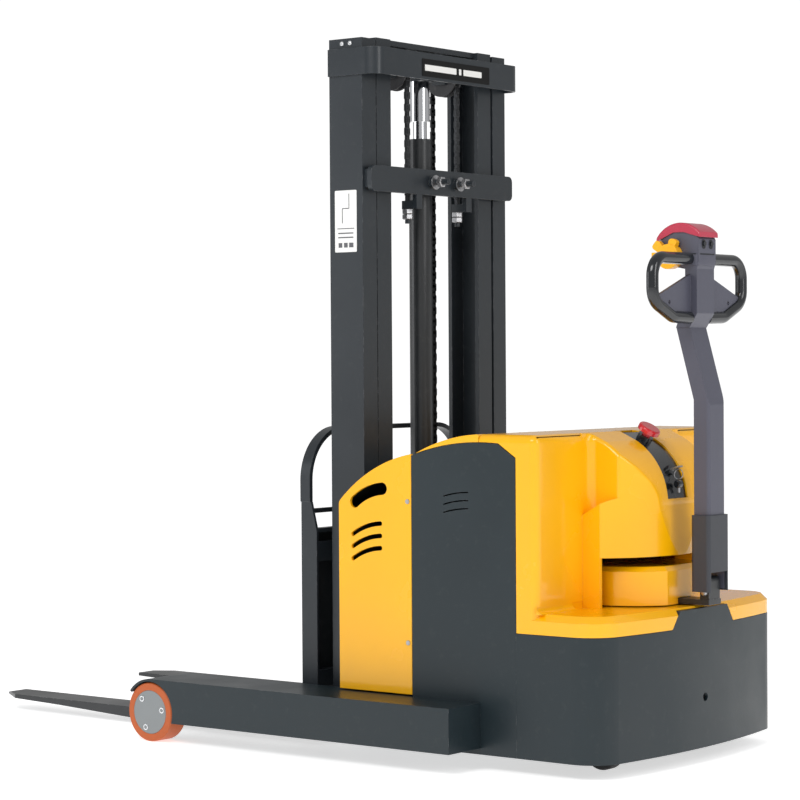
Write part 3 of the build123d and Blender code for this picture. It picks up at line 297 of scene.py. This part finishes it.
# ---------------------------------------------------------------------------------------
# Metal: screws, rollers and key in dull steel, wheel caps in zinc, the lift rod in hard
# chrome; sheaves, pump, motor, gearbox and wheel cores in rough iron.
# ---------------------------------------------------------------------------------------
dull_steel = finish("dull_steel", (0.42, 0.42, 0.43), 0.35, metallic=1.0, mottle=0.12, peel=0.05,
                    grain=1200)
zinc = finish("zinc_plate", (0.26, 0.275, 0.28), 0.38, metallic=0.9, mottle=0.10, peel=0.08,
              grain=600, rough_swing=0.08)
hard_chrome = finish("hard_chrome", (0.72, 0.73, 0.75), 0.08, metallic=1.0, mottle=0.03, peel=0.01,
                     grain=1500, rough_swing=0.03)
rough_iron = finish("rough_iron", (0.05, 0.05, 0.053), 0.6, metallic=0.3, mottle=0.2, peel=0.3,
                    grain=420, dust=0.1)
wear(dull_steel, "panel_screws", "mast_rollers", "carriage_rollers", "key")
wear(zinc, "load_cap_left", "load_cap_right")
wear(hard_chrome, "lift_rod")
wear(rough_iron, "sheave_left", "sheave_right", "hydraulic_unit", "load_hub_left", "load_hub_right",
     "drive_hub", "drive_gearbox", "drive_motor")

# ---------------------------------------------------------------------------------------
# Treads: cast orange polyurethane on the load wheels, with scuffed edges, and black rubber on
# the drive wheel and castors. Both are dusty.
# ---------------------------------------------------------------------------------------
poly_tread = finish("orange_polyurethane", (0.46, 0.090, 0.012), 0.42, mottle=0.12, peel=0.15,
                    grain=240, rub=0.3, rub_colour=(0.5, 0.3, 0.2), edge=0.002, dust=0.12)
rubber_black = finish("black_rubber", (0.016, 0.016, 0.017), 0.7, mottle=0.2, peel=0.25, grain=300, dust=0.25)
wear(poly_tread, "load_tyre_left", "load_tyre_right")
wear(rubber_black, "drive_tyre", "castor_wheel_left", "castor_wheel_right")

# ---------------------------------------------------------------------------------------
# Emergency stop button in glossy red, reversing pad in a softer pinkish red and the hub of the
# butterfly in yellow.
# ---------------------------------------------------------------------------------------
stop_red = finish("stop_red", (0.62, 0.012, 0.020), 0.18, coat=0.6, coat_rough=0.08, mottle=0.05, peel=0.01)
pad_red = finish("pad_red", (0.46, 0.030, 0.065), 0.30, coat=0.3, coat_rough=0.2, mottle=0.06, peel=0.03)
wing_yellow = finish("wing_yellow", (0.95, 0.46, 0.004), 0.28, coat=0.25, coat_rough=0.15, mottle=0.04,
                     peel=0.03)
wear(stop_red, "estop_knob")
wear(pad_red, "belly_pad")
wear(wing_yellow, "butterfly")

# ---------------------------------------------------------------------------------------
# Leaf chains: staggered pressed side plates on pins, oiled. Each runs from its anchor up
# over a sheave and down to the carriage, and the part over the sheave rides with the inner mast.
# ---------------------------------------------------------------------------------------
chain_steel = finish("oiled_chain_steel", (0.060, 0.062, 0.066), 0.35, metallic=0.8, mottle=0.2,
                     peel=0.1, grain=900)
chain_pitch = 0.0159
chain_x = 0.110
pin_r, pin_long = 0.0025, 0.0158
wide_lacing = (-0.0078, -0.0028, 0.0006, 0.0056)
narrow_lacing = (-0.0053, -0.0011, 0.0031)
sheave_low, sheave_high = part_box("sheave_left")
sheave_y, sheave_z = (sheave_low[1] + sheave_high[1]) / 2, (sheave_low[2] + sheave_high[2]) / 2
wrap_r = 0.0415


def link_plates(bm, middle, along, x_offsets, length=0.0226, height=0.0095, thick=0.0022):
    """Round-ended side plates of one link, standing on edge along the chain."""
    aim = Vector((0, 0, 1)).rotation_difference(along).to_matrix().to_4x4()
    placed = Matrix.Translation(middle) @ aim
    for x in x_offsets:
        made = bmesh.ops.create_circle(bm, cap_ends=True, segments=10, radius=height / 2)["verts"]
        for vert in made:
            vert.co = Vector((0, vert.co.x, vert.co.y + math.copysign((length - height) / 2, vert.co.y)))
        face = made[0].link_faces[0]
        pulled = bmesh.ops.extrude_face_region(bm, geom=[face])["geom"]
        moved = [v for v in pulled if isinstance(v, bmesh.types.BMVert)]
        bmesh.ops.translate(bm, verts=moved, vec=(thick, 0, 0))
        bmesh.ops.transform(bm, matrix=Matrix.Translation((x, 0, 0)) @ placed, verts=made + moved)


def leaf_chain(name, x, path):
    """Plates and pins at one pitch along a path of (point, direction) pairs."""
    bm = bmesh.new()
    for number, (point, along) in enumerate(path):
        offsets = wide_lacing if number % 2 else narrow_lacing
        link_plates(bm, Vector((x, *point)), Vector((0, *along)), offsets)
        pin_y = point[0] + along[0] * chain_pitch / 2
        pin_z = point[1] + along[1] * chain_pitch / 2
        bmesh.ops.create_cone(bm, cap_ends=True, segments=8, radius1=pin_r, radius2=pin_r, depth=pin_long,
                              matrix=Matrix.Translation((x, pin_y, pin_z))
                              @ Matrix.Rotation(math.pi / 2, 4, "Y"))
    bmesh.ops.recalc_face_normals(bm, faces=bm.faces)
    mesh = bpy.data.meshes.new(name)
    bm.to_mesh(mesh)
    bm.free()
    mesh.materials.append(chain_steel)
    thing = bpy.data.objects.new(name, mesh)
    bpy.context.scene.collection.objects.link(thing)
    return thing


# Where the rear strand leaves its anchor and where the front strand ends at rest.
rear_low = 1.424
front_low = 0.474
for word, x in (("left", chain_x), ("right", -chain_x)):
    rear_y, front_y = sheave_y + wrap_r, sheave_y - wrap_r
    count = int((sheave_z - rear_low) / chain_pitch)
    rear = leaf_chain("chain_rear_" + word, x,
                      [((rear_y, rear_low + (i + 0.5) * chain_pitch), (0, 1)) for i in range(count)])
    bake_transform(rear)
    count = int(math.pi * wrap_r / chain_pitch)
    angles = [(i + 0.5) * math.pi / count for i in range(count)]
    wrap = leaf_chain("chain_wrap_" + word, x,
                      [((sheave_y + wrap_r * math.cos(t), sheave_z + wrap_r * math.sin(t)),
                        (-math.sin(t), math.cos(t))) for t in angles])
    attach(wrap, "inner_mast")
    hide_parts("chain_" + word)
    count = int((sheave_z - front_low) / chain_pitch)
    front = leaf_chain("chain_front_" + word, x,
                       [((front_y, sheave_z - (i + 0.5) * chain_pitch), (0, -1)) for i in range(count)])
    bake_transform(front)

# ---------------------------------------------------------------------------------------
# Mast plates: a black capacity plate with pale generic bars on the collar and a pale load
# chart with a plain stepped curve on the left channel. Both are thin sheet with round corners.
# ---------------------------------------------------------------------------------------
plate_black = finish("plate_black", (0.003, 0.003, 0.003), 0.45, specular=0.2, mottle=0.05, peel=0.02)
plate_pale = finish("plate_pale", (0.80, 0.80, 0.78), 0.4, mottle=0.03, peel=0.02)
plate_ink = finish("plate_ink", (0.10, 0.10, 0.11), 0.5, mottle=0.05, peel=0.02)


def sheet(name, size, place, material, facing="Y", corner=0.003):
    """A thin plate with rounded corners fixed to the mast, facing along +Y or +X."""
    bm = bmesh.new()
    bmesh.ops.create_cube(bm, size=1, matrix=Matrix.Diagonal((size[0], size[1], size[2], 1)))
    through = [e for e in bm.edges if abs((e.verts[0].co - e.verts[1].co).normalized()[1]) > 0.9]
    bmesh.ops.bevel(bm, geom=through, offset=corner, segments=4, profile=0.5, affect="EDGES")
    if facing == "X":
        bmesh.ops.rotate(bm, verts=bm.verts, matrix=Matrix.Rotation(-math.pi / 2, 3, "Z"))
    bmesh.ops.translate(bm, verts=bm.verts, vec=place)
    bmesh.ops.recalc_face_normals(bm, faces=bm.faces)
    mesh = bpy.data.meshes.new(name)
    bm.to_mesh(mesh)
    bm.free()
    mesh.materials.append(material)
    thing = bpy.data.objects.new(name, mesh)
    bpy.context.scene.collection.objects.link(thing)
    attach(thing, "truck")


plate_x, plate_z = -0.024, 1.771
plate_thick, bar_thick = 0.0012, 0.0008
collar_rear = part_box("top_collar")[1][1]
sheet("capacity_plate", (0.300, plate_thick, 0.046), (plate_x, collar_rear + plate_thick / 2, plate_z),
      plate_black)
for number, (x, width) in enumerate(((0.046, 0.138), (-0.040, 0.010), (-0.096, 0.082))):
    sheet("capacity_bar_%d" % number, (width, bar_thick, 0.016),
          (x, collar_rear + plate_thick + bar_thick / 2, plate_z), plate_pale, corner=0.002)

# The chart and its marks: a stepped curve of three strokes, three lines below it and a row of
# three squares, each by its middle, width and height.
chart_y, chart_z = 0.188, 1.364
chart_thick, mark_thick = 0.0010, 0.0004
chart_marks = (
    (0.199, 1.416, 0.002, 0.038), (0.188, 1.397, 0.022, 0.002), (0.177, 1.378, 0.002, 0.038),
    (0.188, 1.345, 0.056, 0.002), (0.188, 1.333, 0.050, 0.003), (0.188, 1.322, 0.050, 0.003),
    (0.206, 1.302, 0.014, 0.012), (0.188, 1.302, 0.012, 0.012), (0.170, 1.302, 0.012, 0.012))
web_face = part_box("outer_channel_left")[1][0]
sheet("load_chart", (0.072, chart_thick, 0.160), (web_face + chart_thick / 2, chart_y, chart_z), plate_pale,
      facing="X")
for number, (y, z, wide, high) in enumerate(chart_marks):
    sheet("chart_mark_%d" % number, (wide, mark_thick, high),
          (web_face + chart_thick + mark_thick / 2, y, z), plate_ink, facing="X", corner=0.0003)

# ---------------------------------------------------------------------------------------
# Fasteners: pale recessed screws at the top of the left channel, bright washers on the wheel
# caps, washers and hex nuts on the crossbar studs and two hex nuts under each chain anchor.
# ---------------------------------------------------------------------------------------
screw_white = finish("screw_white", (0.62, 0.63, 0.64), 0.3, metallic=0.6, mottle=0.05, peel=0.03)


def turned(name, profile, place, axis, material, flats=0, body="truck"):
    """A turned or hexagonal fastener from (radius, height) steps, pointing along an axis."""
    bm = bmesh.new()
    ring = [bm.verts.new((r, 0, h)) for r, h in profile]
    edges = [bm.edges.new(pair) for pair in zip(ring, ring[1:])]
    bmesh.ops.spin(bm, geom=ring + edges, cent=(0, 0, 0), axis=(0, 0, 1), angle=2 * math.pi,
                   steps=flats or 32, use_duplicate=False)
    bmesh.ops.remove_doubles(bm, verts=bm.verts, dist=0.00001)
    aim = Vector((0, 0, 1)).rotation_difference(Vector(axis)).to_matrix()
    bmesh.ops.rotate(bm, verts=bm.verts, matrix=aim)
    bmesh.ops.translate(bm, verts=bm.verts, vec=place)
    bmesh.ops.recalc_face_normals(bm, faces=bm.faces)
    mesh = bpy.data.meshes.new(name)
    bm.to_mesh(mesh)
    bm.free()
    mesh.materials.append(material)
    if not flats:
        mesh.shade_smooth()
        mesh.set_sharp_from_angle(angle=math.radians(35))
    thing = bpy.data.objects.new(name, mesh)
    bpy.context.scene.collection.objects.link(thing)
    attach(thing, body)


screw_z = 1.8230
screw = [(0, 0), (0.0062, 0), (0.0062, 0.0016), (0.0048, 0.0034), (0.0026, 0.0042), (0.0026, 0.0022),
         (0, 0.0022)]
for number, y in enumerate((0.1785, 0.2050)):
    turned("channel_screw_%d" % number, screw, (web_face, y, screw_z), (1, 0, 0), screw_white)

cap_bolt_r, cap_recess = 0.0435, 0.0020
cap_washer = [(0, 0), (0.0080, 0), (0.0076, 0.0014), (0, 0.0014)]
for word, way in (("left", 1), ("right", -1)):
    cap_low, cap_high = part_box("load_cap_" + word)
    cap_y, cap_z = (cap_low[1] + cap_high[1]) / 2, (cap_low[2] + cap_high[2]) / 2
    cap_face = cap_high[0] if way > 0 else cap_low[0]
    for number in range(3):
        at = math.radians(10 + 120 * number)
        bolt = (cap_face - way * cap_recess, cap_y + cap_bolt_r * math.cos(at),
                cap_z + cap_bolt_r * math.sin(at))
        turned("cap_washer_%s_%d" % (word, number), cap_washer, bolt, (way, 0, 0), hard_chrome,
               body="load_wheel_" + word)

# The studs stand out behind the crossbar, so the washers and nuts sit ahead of their tips.
stud_x, stud_z = 0.055, 1.4735
washer_back, nut_back = 0.0450, 0.0320
stud_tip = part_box("crossbar")[1][1]
nut = [(0.0080, 0), (0.0150, 0), (0.0150, 0.0115), (0.0130, 0.0130), (0.0080, 0.0130)]
washer = [(0.0080, 0), (0.0190, 0), (0.0190, 0.0022), (0.0080, 0.0022)]
for word, way in (("left", 1), ("right", -1)):
    turned("stud_washer_" + word, washer, (way * stud_x, stud_tip - washer_back, stud_z), (0, 1, 0),
           dull_steel)
    turned("stud_nut_" + word, nut, (way * stud_x, stud_tip - nut_back, stud_z), (0, 1, 0), dull_steel,
           flats=6)
    for level in (1.402, 1.388):
        turned("anchor_nut_%s_%d" % (word, level * 1000), nut,
               (way * chain_x, sheave_y + wrap_r, level), (0, 0, -1), dull_steel, flats=6)

# ---------------------------------------------------------------------------------------
# Butterfly wings and head band: two yellow lobes each side of the hub, a band round the rear
# of the tiller head with a dark strip of painted shade above it for a groove, and a dark
# patch of painted shade behind each button for its slot.
# ---------------------------------------------------------------------------------------
butterfly_r = 0.031
hub_low, hub_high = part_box("butterfly")
hub_y, hub_z = hub_high[1] - butterfly_r, (hub_low[2] + hub_high[2]) / 2


def block(name, low, high, material, body, round_edges, segments=4, shape=None):
    """A block between two corners with rounded edges, reshaped by a function of its points."""
    bm = bmesh.new()
    span = [b - a for a, b in zip(low, high)]
    bmesh.ops.create_cube(bm, size=1, matrix=Matrix.Translation([(a + b) / 2 for a, b in zip(low, high)])
                          @ Matrix.Diagonal((*span, 1)))
    for axis, radius in round_edges:
        along = [e for e in bm.edges if abs((e.verts[0].co - e.verts[1].co).normalized()[axis]) > 0.9]
        bmesh.ops.bevel(bm, geom=along, offset=radius, segments=segments, profile=0.5, affect="EDGES")
    if shape:
        for vert in bm.verts:
            vert.co = shape(vert.co)
    bmesh.ops.recalc_face_normals(bm, faces=bm.faces)
    mesh = bpy.data.meshes.new(name)
    bm.to_mesh(mesh)
    bm.free()
    mesh.materials.append(material)
    mesh.shade_smooth()
    mesh.set_sharp_from_angle(angle=math.radians(32))
    thing = bpy.data.objects.new(name, mesh)
    bpy.context.scene.collection.objects.link(thing)
    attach(thing, body)


def lobe(lean, centre, root=0.62, swell=11.0):
    """Tapers a block standing on the hub toward its root and leans it about the hub."""
    def bend(point):
        up = point.z - centre[1]
        along = (point.y - centre[0]) * (root + swell * up)
        return Vector((point.x, centre[0] + along * math.cos(lean) - up * math.sin(lean),
                       centre[1] + along * math.sin(lean) + up * math.cos(lean)))
    return bend


wing_near, wing_far, wing_half, wing_foot = 0.0470, 0.0630, 0.011, 0.004
for word, way in (("left", 1), ("right", -1)):
    near, far = sorted((way * wing_near, way * wing_far))
    for number, (lean, tall) in enumerate(((math.radians(50), 0.054), (math.radians(-20), 0.046))):
        block("wing_%s_%d" % (word, number), (near, hub_y - wing_half, hub_z + wing_foot),
              (far, hub_y + wing_half, hub_z + tall), wing_yellow, "butterfly",
              ((0, 0.010), (1, 0.0035)), shape=lobe(lean, (hub_y, hub_z)))

# Painted shade: this near-black finish stands in for the shade inside recesses on the tiller head.
painted_recess_shade = finish("painted_recess_shade", (0.010, 0.011, 0.013), 0.6, mottle=0.1, peel=0.05)
head_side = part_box("tiller_arm")[1][0] + 0.0022
head_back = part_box("head_housing")[1][1]
band_low, band_high, groove_high = 1.2330, 1.2600, 1.2630
band_deep, band_proud, groove_proud = 0.046, 0.0016, 0.0005
block("head_band", (-head_side - band_proud, head_back - band_deep, band_low),
      (head_side + band_proud, head_back + band_proud, band_high),
      tiller_grey, "tiller", ((2, 0.010), (0, 0.0012)))
# Painted shade: a near-black strip standing proud of the head stands in for the shaded groove above the band.
block("head_groove_shade", (-head_side - groove_proud, head_back - band_deep, band_high),
      (head_side + groove_proud, head_back + groove_proud, groove_high),
      painted_recess_shade, "tiller", ((2, 0.010),))

slot_half, slot_low, slot_high = 0.0085, 1.2745, 1.2975
slot_sunk, slot_proud = 0.0020, 0.0012
# Painted shade: near-black pads standing proud of the head stand in for the shaded slots behind the buttons.
for number, x in enumerate((-0.017, 0.017)):
    block("button_slot_shade_%d" % number, (x - slot_half, head_back - slot_sunk, slot_low),
          (x + slot_half, head_back + slot_proud, slot_high),
          painted_recess_shade, "tiller", ((1, 0.0080),), segments=6)

# ---------------------------------------------------------------------------------------
# Key ring: a split steel ring through the key with a black fob and a small tag, and the
# domed bolt in the lug of the pivot bracket.
# ---------------------------------------------------------------------------------------
wire_r, hoop_r, hoop_drop = 0.0011, 0.0125, 0.022
key_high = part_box("key")[1]
ring_mesh = bpy.data.meshes.new("key_ring")
bm = bmesh.new()
bmesh.ops.create_circle(bm, cap_ends=False, segments=10, radius=wire_r,
                        matrix=Matrix.Translation((hoop_r, 0, 0)) @ Matrix.Rotation(math.pi / 2, 4, "X"))
bmesh.ops.spin(bm, geom=bm.verts[:] + bm.edges[:], cent=(0, 0, 0), axis=(0, 0, 1), angle=2 * math.pi,
               steps=36, use_duplicate=False)
bmesh.ops.remove_doubles(bm, verts=bm.verts, dist=0.00001)
bmesh.ops.rotate(bm, verts=bm.verts, matrix=Matrix.Rotation(math.radians(80), 3, "Y"))
bmesh.ops.translate(bm, verts=bm.verts, vec=(0, key_high[1] - 0.006, key_high[2] - hoop_drop))
bmesh.ops.recalc_face_normals(bm, faces=bm.faces)
bm.to_mesh(ring_mesh)
bm.free()
ring_mesh.materials.append(dull_steel)
ring_mesh.shade_smooth()
ring = bpy.data.objects.new("key_ring", ring_mesh)
bpy.context.scene.collection.objects.link(ring)
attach(ring, "key")

fob_x, fob_y, fob_z = 0.004, key_high[1] - 0.004, key_high[2] - 0.046
fob = [(0, -0.009), (0.007, -0.009), (0.010, -0.006), (0.010, 0.006), (0.007, 0.009), (0, 0.009)]
turned("key_fob", fob, (fob_x, fob_y, fob_z), (1, 0, 0), grip_black, body="key")
block("key_tag", (-0.0045, fob_y - 0.003, fob_z - 0.022), (0.0045, fob_y, fob_z - 0.008), dull_steel,
      "key", ((1, 0.003),))

lug_face, lug_y, lug_z = 0.0260, 1.0846, 0.4250
dome = [(0, 0), (0.0085, 0), (0.0085, 0.003), (0.0062, 0.0065), (0, 0.0078)]
turned("bracket_bolt", dome, (lug_face, lug_y, lug_z), (1, 0, 0), dull_steel, body="drive_head")
